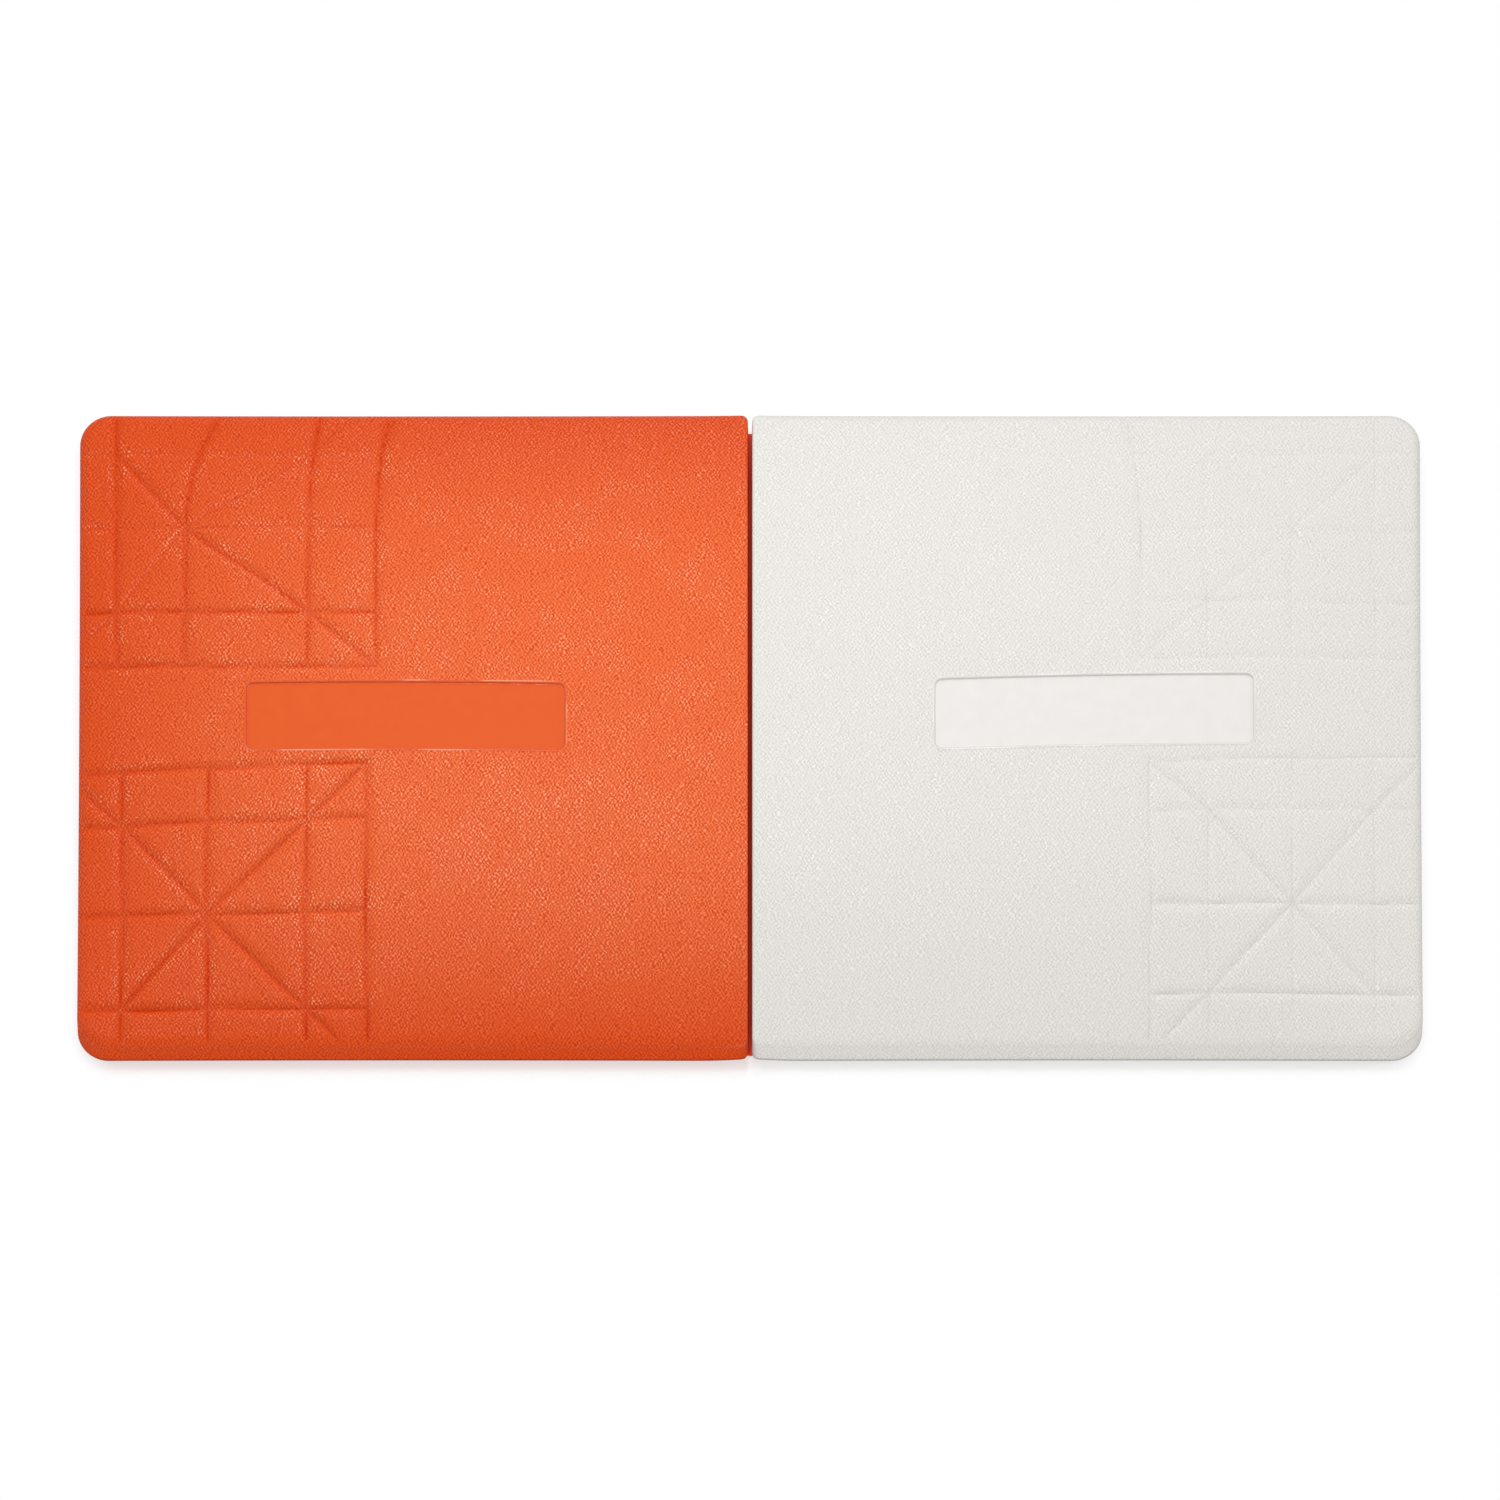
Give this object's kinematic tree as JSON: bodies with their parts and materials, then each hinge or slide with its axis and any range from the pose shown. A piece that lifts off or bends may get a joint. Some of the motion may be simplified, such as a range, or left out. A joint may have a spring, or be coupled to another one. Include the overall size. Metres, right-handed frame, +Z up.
{
  "type": "double first base",
  "caption": "Crowned double first base for baseball and softball: an orange and a white rubber cushion, quilted at the outer corners, hinged by a strap under the seam.",
  "frame": {"origin": "on the ground under the middle of the seam between the two halves", "axes": "+X towards the white half, +Y along the seam towards the back, +Z up"},
  "size_m": [0.765, 0.381, 0.056],
  "materials": {
    "orange_rubber": "pebble grain, satin",
    "white_rubber": "pebble grain, satin",
    "strap_rubber": "smooth, matte",
    "black_rubber": "waffle pockets, matte",
    "foam": "open-cell foam",
    "board": "matte sheet",
    "steel": "zinc plated"
  },
  "bodies": {
    "white_half": {"white_cover": "white_rubber", "white_foam_core": "foam", "white_backing_board": "board", "white_bottom_pad": "black_rubber", "white_stanchion_plate": "steel", "white_lip_screw_1": "steel", "white_lip_screw_2": "steel", "white_lip_screw_3": "steel", "white_lip_screw_4": "steel", "white_lip_screw_5": "steel", "white_lip_screw_6": "steel", "white_lip_screw_7": "steel", "white_lip_screw_8": "steel", "white_lip_screw_9": "steel", "white_strap_screw_1": "steel", "white_strap_screw_2": "steel", "white_strap_screw_3": "steel", "white_strap_screw_4": "steel", "white_plate_screw_1": "steel", "white_plate_screw_2": "steel", "white_plate_screw_3": "steel", "white_plate_screw_4": "steel", "joining_strap": "strap_rubber"},
    "orange_half": {"orange_cover": "orange_rubber", "orange_foam_core": "foam", "orange_backing_board": "board", "orange_bottom_pad": "black_rubber", "orange_stanchion_plate": "steel", "orange_lip_screw_1": "steel", "orange_lip_screw_2": "steel", "orange_lip_screw_3": "steel", "orange_lip_screw_4": "steel", "orange_lip_screw_5": "steel", "orange_lip_screw_6": "steel", "orange_lip_screw_7": "steel", "orange_lip_screw_8": "steel", "orange_lip_screw_9": "steel", "orange_strap_screw_1": "steel", "orange_strap_screw_2": "steel", "orange_strap_screw_3": "steel", "orange_strap_screw_4": "steel", "orange_plate_screw_1": "steel", "orange_plate_screw_2": "steel", "orange_plate_screw_3": "steel", "orange_plate_screw_4": "steel"}
  },
  "joints": [
    {"name": "fold", "type": "hinge", "parent": "white_half", "child": "orange_half", "pos_m": [0, 0, -0.0005], "axis": [0, -1, 0], "range_deg": [-2, 178], "deforming": ["joining_strap"]}
  ]
}
